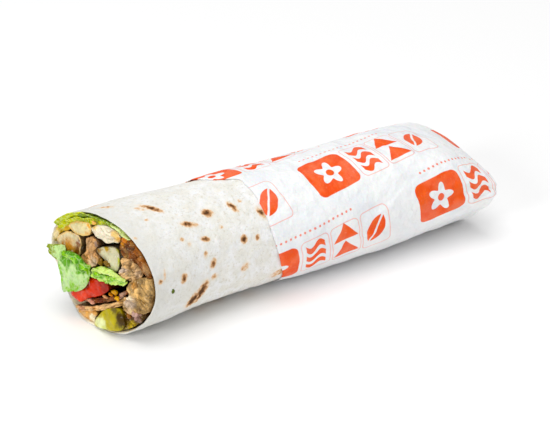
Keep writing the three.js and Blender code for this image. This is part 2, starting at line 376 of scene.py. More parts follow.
def add_sheet(shape, grid, thickness, tint):
    """Adds a thin sheet round a grid of points, closed along its border."""
    down, across = np.gradient(grid, axis=0), np.gradient(grid, axis=1)
    normal = np.cross(down, across)
    normal /= np.linalg.norm(normal, axis=-1, keepdims=True) + 1e-9
    offset = normal * thickness[..., None] / 2
    rows, columns = grid.shape[:2]
    points = np.concatenate([(grid + offset).reshape(-1, 3), (grid - offset).reshape(-1, 3)])
    at = np.arange(rows * columns).reshape(rows, columns)
    upper = np.stack([at[:-1, :-1], at[1:, :-1], at[1:, 1:], at[:-1, 1:]], -1).reshape(-1, 4)
    under = rows * columns
    border = np.concatenate([at[0, :], at[1:, -1], at[-1, -2::-1], at[-2:0:-1, 0]])
    after = np.roll(border, -1)
    edge = np.stack([border, after, after + under, border + under], -1)
    quads = np.concatenate([upper, (upper + under)[:, ::-1], edge])
    shape.add(points, quads, (), np.concatenate([tint.reshape(-1, 3)] * 2))


# ---- Materials ----


class Wire:
    """A number in a material, so that patterns can be written as sums."""

    def __init__(self, material, socket):
        self.material, self.socket = material, socket

    def __add__(self, other):
        return self.material.math("ADD", self, other)

    def __sub__(self, other):
        return self.material.math("SUBTRACT", self, other)

    def __rsub__(self, other):
        return self.material.math("SUBTRACT", other, self)

    def __mul__(self, other):
        return self.material.math("MULTIPLY", self, other)


class Material:
    """A procedural material round one Principled shader."""

    def __init__(self, name, roughness, gloss, glow=0.0, depth=0.0, spread=(1.0, 1.0, 1.0)):
        """gloss is the specular level. glow is how much light goes into the stuff, and depth
        in millimetres and spread are how far it goes, for red, green and blue."""
        self.data = bpy.data.materials.new(name)
        self.data.use_nodes = True
        self.tree = self.data.node_tree
        self.shader = self.tree.nodes["Principled BSDF"]
        self.shader.inputs["Roughness"].default_value = roughness
        self.shader.inputs["Specular IOR Level"].default_value = gloss
        self.shader.inputs["Subsurface Weight"].default_value = glow
        self.shader.inputs["Subsurface Scale"].default_value = depth * MM
        self.shader.inputs["Subsurface Radius"].default_value = spread
        self.here = self.node("TexCoord").outputs["Object"]

    def put(self, socket, value):
        """Links a wire or socket to a socket, or sets the socket to a plain value."""
        value = getattr(value, "socket", value)
        if isinstance(value, bpy.types.NodeSocket):
            self.tree.links.new(value, socket)
        else:
            socket.default_value = value

    def node(self, kind, *inputs, **settings):
        made = self.tree.nodes.new("ShaderNode" + kind)
        for key, value in settings.items():
            setattr(made, key, value)
        for key, value in inputs:
            self.put(made.inputs[key], value)
        return made

    def math(self, operation, *values, clamp=False):
        made = self.node("Math", *enumerate(values), operation=operation, use_clamp=clamp)
        return Wire(self, made.outputs[0])

    def value(self, name):
        """One of the mesh's own numbers."""
        return Wire(self, self.node("Attribute", attribute_name=name).outputs["Fac"])

    def tint(self):
        """The mesh's own colour."""
        return self.node("Attribute", attribute_name="tint").outputs["Color"]

    def noise(self, size, detail):
        """Noise with lumps about size millimetres across, from 0 to 1."""
        scale = 0.5 / (size * MM)
        made = self.node("TexNoise", ("Vector", self.here), ("Scale", scale), ("Detail", detail))
        return Wire(self, made.outputs["Fac"])

    def cells(self, size, feature="F1"):
        """Distance within random cells about size millimetres across."""
        scale = 1 / (size * MM)
        made = self.node("TexVoronoi", ("Vector", self.here), ("Scale", scale), feature=feature)
        return Wire(self, made.outputs["Distance"])

    def steps(self, value, low, high):
        """0 below low, 1 above high, and smooth between them."""
        ends = ("Value", value), ("From Min", low), ("From Max", high)
        made = self.node("MapRange", *ends, interpolation_type="SMOOTHSTEP")
        return Wire(self, made.outputs["Result"])

    def mix(self, share, base, over):
        """Colour base with colour over laid on it by share."""
        made = self.node("Mix", data_type="RGBA")
        self.put(made.inputs["Factor"], share)
        for key, value in ((6, base), (7, over)):
            plain = isinstance(value, int)
            self.put(made.inputs[key], (*colour(value), 1) if plain else value)
        return made.outputs[2]

    def shaded(self, base, amount, saturation):
        """Colour base made lighter or darker, where amount is 1 for no change."""
        changes = ("Color", base), ("Value", amount), ("Saturation", saturation)
        return self.node("HueSaturation", *changes).outputs["Color"]

    def finish(self, base, height, depth):
        """Gives the shader its colour and a fine relief of depth millimetres."""
        made = self.node("Bump", ("Height", height), ("Distance", depth * MM))
        self.put(self.shader.inputs["Base Color"], base)
        self.put(self.shader.inputs["Normal"], made.outputs["Normal"])
        return self.data


def bread_material():
    m = Material("flatbread", 0.85, 0.15, 0.1, 1.8, (1.0, 0.8, 0.6))
    base = m.mix(m.steps(m.noise(2.6, 5), 0.36, 0.64), 0xF6F6F5, 0xEFEDE5)
    base = m.mix(m.steps(m.noise(1.1, 5), 0.42, 0.7) * 0.34, base, 0xDDDBD0)
    base = m.mix(m.steps(m.noise(0.6, 3), 0.56, 0.68) * 0.42, base, 0xCCC4B0)
    base = m.mix(m.steps(m.noise(1.9, 4), 0.66, 0.8) * 0.35, base, 0xEBCFA2)
    # Painted shade: the outer face is made greyer towards the rim.
    base = m.mix(m.value("front") * 0.8, base, 0xDAD9D2)
    base = m.mix(m.value("inside"), base, 0xFFF0CC)
    # Painted shade: the inner face turns dark brown deeper inside the roll.
    base = m.mix(m.value("deep"), base, 0x6B4A24)
    spot = m.value("toast")
    ragged = (m.noise(0.8, 4) - 0.5) * 1.5 + (m.noise(1.8, 2) - 0.5) * 0.8
    toast = spot * 1.15 + ragged * m.steps(spot, 0.02, 0.4)
    base = m.mix(m.steps(spot, 0.02, 0.4) * 0.4, base, 0xF6D8AE)
    base = m.mix(m.steps(toast, 0.2, 0.55) * 0.8, base, 0xE3B078)
    base = m.mix(m.steps(toast, 0.5, 0.82) * 0.85, base, 0x9C6636)
    base = m.mix(m.steps(toast, 0.78, 1.12) * 0.9, base, 0x4C301A)
    relief = m.noise(0.9, 6) + m.noise(3.0, 3) * 1.6
    return m.finish(base, relief, 0.4)


PRINT_SLANT = 10.0  # degrees between the rows and the roll
PRINT_START = (35.2, 6.0)  # where the pattern starts, along and across its rows
PRINT_ROW = 32.0  # from one row to the next
PRINT_STAGGER = 42.0  # how far each row is set off from the one before it
PRINT_REPEAT = 84.0  # how long the pattern is along a row
PRINT_ROWS = (-1, 2)  # the first and the last row: none lie underneath
PRINT_END = LENGTH + 0.2  # the folded end is left white


def print_pattern(m):
    """How much of the paper is orange: a generic pattern of rounded shapes in slanted rows."""
    sheet = m.node("UVMap", uv_map="sheet").outputs[0]
    split = m.node("SeparateXYZ", ("Vector", sheet))
    along, round_it = (Wire(m, split.outputs[k]) for k in (0, 1))
    shown = m.steps(along * -1.0, -PRINT_END, 1.0 - PRINT_END)
    slant = math.radians(PRINT_SLANT)
    along = along + (m.noise(4, 2) - 0.5) * 1.6
    a = along * math.cos(slant) + round_it * math.sin(slant) + PRINT_START[0]
    b = round_it * math.cos(slant) - along * math.sin(slant) + PRINT_START[1]
    row = m.math("FLOOR", b * (1 / PRINT_ROW))
    b = b - (row + 0.5) * PRINT_ROW
    a = m.math("WRAP", a + row * PRINT_STAGGER, PRINT_REPEAT / 2, -PRINT_REPEAT / 2)

    def length(x, y):
        return m.math("SQRT", x * x + y * y)

    def either(*values):
        total = values[0]
        for value in values[1:]:
            total = m.math("MAXIMUM", total, value)
        return total

    def without(value, hole):
        return m.math("SUBTRACT", value, hole, clamp=True)

    def inside(distance):
        return m.steps(distance * -1.0, -0.2, 0.2)

    def box(x, y, half_x, half_y, corner):
        """Distance from a rounded box round the origin."""
        beyond_x = m.math("MAXIMUM", m.math("ABSOLUTE", x) - (half_x - corner), 0.0)
        beyond_y = m.math("MAXIMUM", m.math("ABSOLUTE", y) - (half_y - corner), 0.0)
        return length(beyond_x, beyond_y) - corner

    def flower(x, y):
        turn = m.math("ARCTAN2", y, x)
        petals = m.math("COSINE", turn * 5.0) * 1.5
        return without(inside(length(x, y) - petals - 5.0), inside(length(x, y) - 1.7))

    def wave(x, y):
        bend = m.math("SINE", x * 0.7) * 1.5
        bar = m.math("ABSOLUTE", y - bend) - 1.55
        return inside(m.math("MAXIMUM", bar, m.math("ABSOLUTE", x) - 4.8))

    def wedge(x, y):
        slope = m.math("ABSOLUTE", x) * 0.8 + y * 0.6
        return inside(m.math("MAXIMUM", slope, y * -1.0) - 3.1)

    def leaf(x, y):
        p, q = x * 0.6 + y * 0.8, y * 0.6 - x * 0.8
        lens = m.math("MAXIMUM", length(p, q - 4), length(p, q + 4)) - 8.0
        return without(inside(lens), inside(m.math("ABSOLUTE", q) - 0.45))

    block = without(inside(box(a + 26, b, 11.5, 9.5, 3)), flower(a + 26, b))
    waves = either(*(wave(a + 6, b - rise) for rise in (-5.2, 0, 5.2)))
    wedges = either(wedge(a - 9, b + 4.6), wedge(a - 9, b - 4.6))
    leaves = leaf(a - 24, b)
    cell = m.math("WRAP", a + 6, 7.5, -7.5)
    line = inside(m.math("ABSOLUTE", box(cell, b, 6.9, 9.5, 2)) - 0.2) * 0.5
    line = line * inside(box(a - 9, b, 22.4, 11, 1))
    dot = m.math("WRAP", a, 1.2, -1.2)
    dots = inside(length(dot, b - 13.6) - 0.55) * inside(box(a + 8, b - 13.6, 24, 2, 1))
    pattern = either(block, waves, wedges, leaves, line, dots * 0.8)
    shown = shown * m.steps(row, PRINT_ROWS[0] - 0.6, PRINT_ROWS[0] - 0.4)
    return pattern * shown * m.steps(row * -1.0, -PRINT_ROWS[1] - 0.6, -PRINT_ROWS[1] - 0.4)


def paper_material():
    m = Material("paper", 0.5, 0.25, 0.1, 1.0, (1.0, 0.2, 0.1))
    base = m.mix(m.steps(m.noise(8, 4), 0.35, 0.65), 0xFBFAFA, 0xF2F3F6)
    base = m.mix(m.steps(m.noise(14, 2), 0.5, 0.75) * 0.3, base, 0xF6F2EC)
    worn = m.steps(m.noise(0.5, 3), 0.2, 0.45) * 0.08 + m.steps(m.noise(5, 2), 0.3, 0.6) * 0.06
    ink = m.mix(m.steps(m.noise(2.5, 3), 0.35, 0.65), 0xFF6000, 0xF85200)
    base = m.mix(print_pattern(m) * (worn + 0.86), base, ink)
    crumple = m.cells(5) * m.cells(5) - m.math("POWER", m.cells(6.3), 2.0)
    fine = m.math("POWER", m.cells(1.7), 2.0) - m.math("POWER", m.cells(2.1), 2.0)
    relief = crumple + fine * 0.35 + m.noise(0.35, 2) * 0.06
    return m.finish(base, relief, 0.4)


def food_material(name, roughness, variation, size, specks=(), glow=0.0, saturation=1.1):
    """Moist food: the mesh's tint, made uneven, with specks of other colours. A speck is its
    size, how much of the surface it leaves bare (0 to 1), its strength and its colour. Gives
    the material, its colour and its grain, for a finish."""
    m = Material(name, roughness, 0.22, glow, 0.8, (1.0, 0.5, 0.3))
    grain = m.noise(size, 5)
    amount = (grain - 0.5) * variation * 2 + (m.noise(size * 3, 3) - 0.5) * variation + 1.0
    base = m.shaded(m.tint(), amount, saturation)
    for speck_size, bare, strength, code in specks:
        cover = m.steps(m.noise(speck_size, 4), bare, bare + 0.1) * strength
        base = m.mix(cover, base, code)
    return m, base, grain


def meat_material():
    # The pale specks are painted glints and the dark specks painted shade in cracks; the golden specks
    # are the meat's own colour.
    specks = ((0.4, 0.6, 0.6, 0xF3D9B0), (1.4, 0.6, 0.5, 0x52300F), (0.9, 0.64, 0.5, 0xD9A060))
    m, base, grain = food_material("meat", 0.28, 0.7, 0.6, specks)
    return m.finish(base, grain + m.noise(0.3, 3) * 0.5, 0.5)


def leaf_material():
    m, base, grain = food_material("lettuce", 0.32, 0.3, 0.9, glow=0.15)
    vein = m.cells(2.8, "DISTANCE_TO_EDGE")
    base = m.mix((1.0 - m.steps(vein, 0.02, 0.12)) * 0.3, base, 0xE2F5B4)
    return m.finish(base, m.steps(vein, 0.0, 0.35) + grain * 0.4, 0.3)


def potato_material(name):
    specks = ((0.5, 0.62, 0.4, 0xC9A868), (0.7, 0.6, 0.35, 0xFFFDF2))
    m, base, grain = food_material(name, 0.35, 0.2, 0.8, specks, glow=0.15)
    return m.finish(base, grain * 0.6 + m.cells(0.7) * 0.5, 0.25)


def wet_material(name, variation, size):
    m, base, grain = food_material(name, 0.16, variation, size, saturation=1.2)
    return m.finish(base, grain, 0.3)


# ---- Flatbread ----

SIDES = 300  # points round the bread and the paper
BREAD_SEEN = 84  # up to this distance the bread's mesh is fine

# Toasted spots: distance, angle round the roll in degrees, half length along the roll,
# half width round it, turn in degrees, darkness.
SPOTS = (
    (21, 80, 3.4, 0.9, -50, 0.95),
    (17, 83, 2.0, 0.8, -40, 0.45),
    (7.4, 105, 2.6, 0.9, -40, 0.5),
    (41.7, 57, 1.7, 1.3, -30, 0.9),
    (53.6, 56, 2.2, 0.9, -68, 0.85),
    (64.5, 43, 2.2, 1.0, -72, 0.75),
    (31.7, 51, 2.6, 0.9, -20, 0.85),
    (35.6, 34, 1.5, 0.8, -20, 0.9),
    (53, 23, 1.3, 1.0, 80, 1.0),
    (59.6, 21, 1.1, 0.8, 60, 0.55),
    (34.1, 20, 1.2, 0.7, 70, 0.7),
    (36.9, 9, 1.7, 1.0, 60, 0.85),
    (52.4, -5, 1.9, 1.4, 60, 0.5),
    (37.3, -5, 1.3, 1.2, 0, 0.6),
    (21.8, 6, 1.5, 1.0, 70, 0.95),
    (31.9, -14.5, 2.8, 1.5, 68, 1.1),
    (27.4, -23.5, 3.0, 1.5, 65, 1.1),
    (30.6, -23, 2.4, 0.9, 68, 0.95),
    (10.6, 11, 0.9, 0.8, 0, 0.75),
    (13, 16, 2.2, 0.6, 80, 0.4),
    (6.7, 56, 0.7, 0.6, 0, 0.5),
    (25.5, 40, 0.9, 0.8, 0, 0.45),
    (28, 34, 0.8, 0.8, 0, 0.42),
    (44.6, 40, 0.8, 0.7, 0, 0.45),
    (58, 60, 0.9, 0.7, 0, 0.45),
    (16, 69, 0.9, 0.6, 0, 0.42),
    (70.6, -28, 3.0, 2.0, 20, 0.6),
)
HIDDEN_SPOTS = 34  # more of them, on the sides that the first list leaves out
SPOT_SPREAD = 1.2  # how much larger the spots are drawn
BREAD_CREASES = ((51, 2.2, 0.28), (61.5, 1.6, 0.18), (14, 2.0, 0.16))  # distance, width, depth


def toast_at(x, angle):
    """How toasted the bread is, from 0 to about 1, with a pale halo round each spot."""
    rng = np.random.default_rng(4)
    spots = list(SPOTS)
    for _ in range(HIDDEN_SPOTS):
        size = rng.uniform(0.8, 2.0)
        at, where = rng.uniform(-4, 80), rng.uniform(118, 300)
        half_long = size * rng.uniform(0.8, 1.6)
        turn, darkness = rng.uniform(-40, 40), rng.uniform(0.5, 1.0)
        spots.append((at, where, half_long, size, turn, darkness))
    total = np.zeros(x.shape)
    for at, where, half_long, half_wide, turn, darkness in spots:
        along = x - at
        gap = (angle - math.radians(where) + math.pi) % (2 * math.pi) - math.pi
        across = gap * BREAD_RADIUS
        cos, sin = math.cos(math.radians(turn)), math.sin(math.radians(turn))
        u = (along * cos + across * sin) / (half_long * SPOT_SPREAD)
        v = (across * cos - along * sin) / (half_wide * SPOT_SPREAD)
        total = np.maximum(total, darkness * np.exp(-0.75 * (u * u + v * v)))
    return total


def bread_relief(x, angle, points):
    """How far the bread's face stands out: dents, blisters and soft creases round the roll."""
    relief = 0.28 * fractal(points, (16, 9, 9), 1, 2)
    blisters = np.maximum(noise(points, 4.2, 7), 0) ** 2
    relief += 0.35 * blisters + 0.05 * noise(points, 1.6, 9)
    for at, spread, depth in BREAD_CREASES:
        bend = at + 1.6 * noise(points, 18, 21)
        fade = smoothstep(-0.2, 0.5, noise(points, 22, int(at)))
        relief -= depth * fade * np.exp(-(((x - bend) / spread) ** 2))
    relief += 0.3 * np.exp(-(((x - rim_at(angle)) / 1.8) ** 2)) * noise(points, 7, 33)
    return relief


def drawn_in(ring, ahead, share):
    """A ring moved ahead along the roll and made smaller, to close its far end."""
    x, y, z = np.moveaxis(ring, -1, 0)
    middle = SECTIONS[-1, 2]
    return np.stack([x + ahead, y * share, middle + (z - middle) * share], -1)


def make_bread():
    angle = np.arange(SIDES) / SIDES * 2 * math.pi
    circle = np.stack([np.cos(angle) * 30, np.sin(angle) * 30, angle * 0], -1)
    rim = rim_at(angle) + 0.25 * noise(circle, 5, 3)
    shares = np.linspace(0, 1, 150) ** 1.15
    near = rim + (BREAD_SEEN - rim) * shares[:, None]
    far = np.linspace(BREAD_SEEN, BREAD_END, 13)[1:, None] + 0 * rim
    x = np.concatenate([near, far])
    around = np.broadcast_to(angle, x.shape)
    relief = bread_relief(x, around, skin(x, around, bread_inset(x)))
    lip = RIM_ROUND * np.exp(-(x - rim) / RIM_ROUND)
    covered = 0.6 * smoothstep(78, 92, x)
    outer = skin(x, around, bread_inset(x) + covered - relief + lip)

    steps = np.array([0, 0.35, 0.8, 1.5, 2.5, 4, 7, 12, 20, 40, 80, 130, BREAD_END - 2])
    inner_x = rim * np.exp(-steps / 20)[:, None] + steps[:, None]
    inner_around = np.broadcast_to(angle, inner_x.shape)
    lumps = 0.12 * noise(skin(inner_x, inner_around), 5, 14)
    lip = RIM_ROUND * np.exp(-(inner_x - rim) / RIM_ROUND)
    thickness = BREAD_THICKNESS - 0.6 * np.exp(-(inner_x - rim) / 4)
    inner = skin(inner_x, inner_around, bread_inset(inner_x) + thickness + lumps - lip)
    closed_inside, closed_outside = (drawn_in(face[-1], 1.2, 0.85) for face in (inner, outer))
    rings = np.concatenate([[closed_inside], inner[::-1], outer, [closed_outside]])
    shape = Shape()
    add_rings(shape, rings)

    def at_points(start, on_inner, on_outer):
        """A number for each point: at the closed end's inside it is start, then on_inner and
        on_outer on the two faces, and 0 at the closed end's outside."""
        own = np.zeros(rings.shape[:2])
        own[0] = start
        own[len(inner):0:-1] = on_inner
        own[len(inner) + 1:-1] = on_outer
        return np.append(own.ravel(), [start, 0])

    values = {
        "toast": at_points(0, 0, toast_at(x, around) * smoothstep(-0.5, 1, x - rim)),
        "inside": at_points(1, smoothstep(-0.4, 0.8, inner_x - rim), 0),
        # Painted shade on the inner face, from a few millimetres behind the rim inwards.
        "deep": at_points(1, smoothstep(4, 12, inner_x - rim), 0),
        # front: painted shade, strongest at the rim and fading along the roll.
        "front": at_points(0, 0, np.exp(-np.maximum(x - rim, 0) / 14)),
    }
    shape.make("flatbread_roll", bread_material(), "flatbread", "flatbread", values)


# ---- Paper sleeve ----

CLOSING_RINGS = 24  # rings across the closed end
# Folds in the paper: distance and angle in degrees at their two ends, and how far one side of
# them stands out over the other.
FOLDS = (
    (181, 12, 138, -8, 0.5),
    (181, 8, 150, -34, 0.45),
    (181, 4, 162, -52, -0.4),
    (181, 20, 156, 14, -0.35),
    (181, 168, 140, 190, 0.5),
    (181, 172, 152, 214, 0.45),
    (134, 30, 112, 4, 0.3),
    (122, -2, 92, -20, 0.35),
    (150, 62, 128, 92, 0.25),
    (104, 58, 84, 84, 0.22),
    (96, 18, 78, 34, 0.2),
    (176, 70, 160, 118, 0.3),
    (112, 150, 84, 190, 0.35),
    (160, 150, 120, 168, 0.35),
)


def paper_relief(x, angle, points, edge):
    """Crumples, soft dents, sharper folds towards the closed end, and the edge drawn in against the
    bread.
    """
    towards_end = smoothstep(115, 172, x) * smoothstep(0.75, 0.1, np.sin(angle))
    relief = (0.5 + 0.4 * towards_end) * facets(points, (17, 13, 13), 2)
    relief += (0.3 + 0.3 * towards_end) * facets(points, (7, 6, 6), 3)
    relief += (0.08 + 0.06 * towards_end) * facets(points, 3.0, 4)
    relief += 0.3 * noise(points, (30, 16, 16), 5)
    round_it = (angle + math.pi / 2) % (2 * math.pi) - math.pi / 2
    for x0, angle0, x1, angle1, height in FOLDS:
        start = np.array([x0, math.radians(angle0) * RADIUS])
        line = np.array([x1, math.radians(angle1) * RADIUS]) - start
        reach = np.hypot(*line)
        along, across = x - start[0], round_it * RADIUS - start[1]
        share = (along * line[0] + across * line[1]) / reach**2
        off = (across * line[0] - along * line[1]) / reach + 0.6 * noise(points, 9, 41)
        fade = smoothstep(-0.05, 0.1, share) * (1 - smoothstep(0.5, 1, share))
        relief += height * fade * np.tanh(off / 0.5) * np.exp(-((off / 5.0) ** 2))
    hug = 0.55 * np.exp(-(x - edge) / 5)
    return relief * (1 - 0.6 * np.exp(-(x - edge) / 4)) - hug


def closing_rings(last):
    """Rings that close the sleeve beyond its last one, with two flaps laid over each other."""
    middle = np.array([LENGTH, 0, SECTIONS[-1, 2]])
    closing = []
    for share in np.linspace(0, 1, CLOSING_RINGS + 2)[1:-1] ** 1.6:
        ring = last + (middle - last) * share
        bulge = END_BULGE * (1 - (1 - min(share * 6, 1)) ** 2)
        folds = 0.5 * facets(ring + (0, 50, 0), (8, 11, 11), 6)
        flap = 0.35 * np.tanh((ring[:, 2] - 20 - 0.35 * ring[:, 1]) * 3)
        flap += 0.3 * np.tanh((ring[:, 2] - 21 + 0.42 * ring[:, 1]) * 3)
        ring[:, 0] = LENGTH + (bulge - 0.7) * 0.8 + (folds + flap) * min(share * 3, 1)
        closing.append(ring)
    return closing


def make_paper():
    angle = np.arange(SIDES) / SIDES * 2 * math.pi
    edge = paper_edge_at(angle)
    shares = np.sin(np.linspace(0, 1, 170) * math.pi / 2) ** 0.95
    x = edge + (LENGTH - edge) * shares[:, None]
    around = np.broadcast_to(angle, x.shape)
    relief = paper_relief(x, around, skin(x, around), edge)
    creased = smoothstep(0.0, 0.5, np.sin(around))
    rounded = (1.8 - 1.6 * creased) * smoothstep(LENGTH - 2.4, LENGTH, x) ** 2
    relief *= 1 - 0.7 * creased * smoothstep(LENGTH - 6, LENGTH, x)
    outer = skin(x, around, rounded - relief)

    inner_x = edge + (LENGTH - 1.5 - edge) * np.linspace(1, 0, 40)[:, None]
    inner_around = np.broadcast_to(angle, inner_x.shape)
    inner_relief = paper_relief(inner_x, inner_around, skin(inner_x, inner_around), edge)
    inner = skin(inner_x, inner_around, PAPER_THICKNESS - inner_relief)
    closed_inside = drawn_in(inner[0], 0.3, 0.5)
    rings = np.concatenate([[closed_inside], inner, outer, closing_rings(outer[-1])])
    shape = Shape()
    add_rings(shape, rings)
    piece = shape.make("paper_wrap", paper_material(), "paper", "paper_sleeve")
    add_sheet_map(piece, rings)


def add_sheet_map(piece, rings):
    """Lays the sleeve out flat: distance along the roll, and arc length round it from its
    near side, both in millimetres. The seam lies underneath."""
    start = SIDES * 3 // 4
    order = (np.arange(SIDES + 1) + start) % SIDES
    steps = np.linalg.norm(np.diff(rings[:, order], axis=1), axis=2)
    arc = np.concatenate([np.zeros((len(rings), 1)), np.cumsum(steps, axis=1)], axis=1)
    arc -= arc[:, [SIDES // 4]]
    position = (np.arange(SIDES) - start) % SIDES
    mesh = piece.data
    flat = mesh.uv_layers.new(name="sheet")
    corners = np.zeros(len(mesh.loops), int)
    mesh.loops.foreach_get("vertex_index", corners)
    count = len(mesh.polygons)
    faces = np.repeat(np.arange(count), [len(p.vertices) for p in mesh.polygons])
    ring = np.minimum(corners // SIDES, len(rings) - 1)
    column = np.where(corners < len(rings) * SIDES, position[corners % SIDES], 0)
    high, low = np.zeros(count, int), np.full(count, SIDES)
    np.maximum.at(high, faces, column)
    np.minimum.at(low, faces, column)
    over_seam = high - low > SIDES // 2
    column = np.where(over_seam[faces] & (column == 0), SIDES, column)
    own_x = rings[ring, corners % SIDES, 0]
    own_x = np.where(ring < len(rings) - CLOSING_RINGS, own_x, LENGTH + 2)
    uv = np.stack([own_x, arc[ring, column]], -1)
    flat.data.foreach_set("uv", uv.astype(np.float32).ravel())


# ---- Fillings ----

AROUND = 140  # points round each filling
FACE_SHARES = np.linspace(0.04, 1, 24)  # rings of its face, from the middle to the edge
EDGE_TURNS = np.radians([20, 40, 65, 90])  # rings round its edge
BACK_STEPS = (0.5, 1.4, 3, 5, 8, 12, 18, 28, 45, 70, 100, 130, 160)  # and behind that
SIDE_BROWN = 0x7A4C22  # painted shade: the brown that the sides in the gaps between fillings turn to


def seen(y, z, out):
    """The point out millimetres before the cut plane that the camera sees at (y, z) of it."""
    y, z, out = np.broadcast_arrays(*(np.asarray(v, float) for v in (y, z, out)))
    at = np.stack([cut_at(y, z), y, z], -1)
    sight = at - CAMERA_AT
    return at - sight * (out / (sight @ (1, CUT_YAW, -CUT_LEAN)))[..., None]


def in_room(y, z, spare=0.1):
    """Places moved in where they would lie outside the room inside the bread."""
    half, waist, up, down = room_at(np.zeros(1))
    rise = z - waist
    reach = np.where(rise > 0, up, down) - spare
    over = np.maximum(np.hypot(y / (half - spare), rise / reach), 1)
    return y / over, waist + rise / over


def outline_through(corners, rough, seed):
    """A smooth closed outline through corners, made ragged by about rough."""
    corners = np.array(corners, float)
    loop = np.concatenate([corners[-2:], corners, corners[:3]])
    at = np.linspace(0, len(corners), 8 * AROUND) + 2
    fine = [smooth_between(at, np.arange(len(loop)), loop[:, k]) for k in (0, 1)]
    fine = np.stack(fine, -1)
    steps = np.linalg.norm(np.diff(fine, axis=0), axis=1)
    length = np.concatenate([[0], np.cumsum(steps)])
    even = np.linspace(0, length[-1], AROUND, endpoint=False)
    outline = np.stack([np.interp(even, length, fine[:, k]) for k in (0, 1)], -1)
    away = outline - outline.mean(0)
    places = np.column_stack([outline, np.full(AROUND, 3.3)])
    swell = rough * fractal(places, 2.6, seed, 3)
    return outline + away / np.linalg.norm(away, axis=1)[:, None] * swell[:, None]


def spline(knots, at):
    """A smooth curve through knots, which stand at even shares from 0 to 1."""
    knots = np.asarray(knots, float)
    places = np.linspace(0, 1, len(knots))
    columns = knots.reshape(len(knots), -1).T
    curve = np.stack([smooth_between(at, places, column) for column in columns], -1)
    return curve.reshape(*np.shape(at), *knots.shape[1:])


def band_along(knots, thickness, seed):
    """The outline of a thin slice whose middle runs through knots, and that middle line."""
    turn = np.arange(AROUND) / AROUND * 2 * math.pi
    share = (1 - np.cos(turn)) / 2
    middle = spline(knots, share)
    ahead, behind = spline(knots, share + 0.01), spline(knots, share - 0.01)
    tangent = ahead - behind
    tangent /= np.linalg.norm(tangent, axis=1)[:, None] + 1e-9
    across = np.stack([-tangent[:, 1], tangent[:, 0]], -1)
    places = np.column_stack([share * 24, 0 * share, np.zeros(AROUND)])
    wave = 0.3 * noise(places, 3.0, seed)
    half = thickness / 2 * (1 + 0.35 * noise(places, 2.2, seed + 1))
    side = np.sign(np.sin(turn)) * np.abs(np.sin(turn)) ** 0.35
    middle = middle + across * wave[:, None]
    return middle + across * (half * side)[:, None], middle


def painted(points, base, patches, seed):
    """Tints for points: a base colour with round patches of other colours, ragged at their
    edges. A patch is (y, z, radius, colour)."""
    tint = np.broadcast_to(colour(base), points.shape).copy()
    y = points[..., 1] + 1.2 * fractal(points, 3.0, seed + 50, 4, 0.7)
    z = points[..., 2] + 1.2 * fractal(points, 3.0, seed + 60, 4, 0.7)
    for at_y, at_z, radius, code in patches:
        away = np.hypot(y - at_y, z - at_z)
        tint = blend(tint, colour(code), 1 - smoothstep(radius * 0.4, radius * 1.35, away))
    return tint


def torn(turn, seed, lump=1.0, fibre=0.3):
    """Relief of torn meat: lumps split by creases, and strands that run at turn degrees."""
    cos, sin = math.cos(math.radians(turn)), math.sin(math.radians(turn))

    def relief(points):
        x, y, z = np.moveaxis(points, -1, 0)
        turned = np.stack([x, y * cos + z * sin, z * cos - y * sin], -1)
        lumps = noise(points, 4.6, seed) + 0.7 * noise(turned, (3, 3.2, 1.8), seed + 1)
        crease = np.exp(-((noise(turned, (3, 4.2, 1.9), seed + 2) / 0.1) ** 2))
        strands = noise(turned, (2, 2.4, 0.6), seed + 3)
        fine = 0.25 * noise(turned, (1.4, 1.6, 0.9), seed + 4)
        return lump * 0.9 * lumps - 0.7 * crease + fibre * strands + fine

    return relief


def mealy(seed, dent=0.3):
    """Relief of boiled and fried potato: nearly flat, with small pits and crumbs."""

    def relief(points):
        pits = np.maximum(noise(points, 1.0, seed + 4), 0) ** 2
        return dent * fractal(points, 4.0, seed, 3) - 0.3 * pits

    return relief


def soft(seed, lump=0.4, size=3.5):
    """Relief of soft, wet pieces: shallow lumps."""

    def relief(points):
        return lump * fractal(points, size, seed, 3)

    return relief


@dataclass
class Filling:
    """A piece of filling, which runs as a strand from the cut along the roll."""

    name: str
    slot: str
    out: float  # how far its face stands out before the cut
    base: int  # colour
    relief: Callable  # gives how far its face stands out at points
    outline: tuple = ()  # corners (y, z) at the cut, or for a thin slice its knots
    patches: tuple = ()  # patches of other colours, as for painted
    crust: tuple = ()  # colour and width of another coloured edge
    thickness: float = 0.0  # of a thin slice
    dome: float = 0.7  # how far the middle of its face stands out before its edge
    edge: float = 0.9  # how round that edge is
    shade: float = 0.4  # how much painted light its bumps get, and how much painted shade its dents
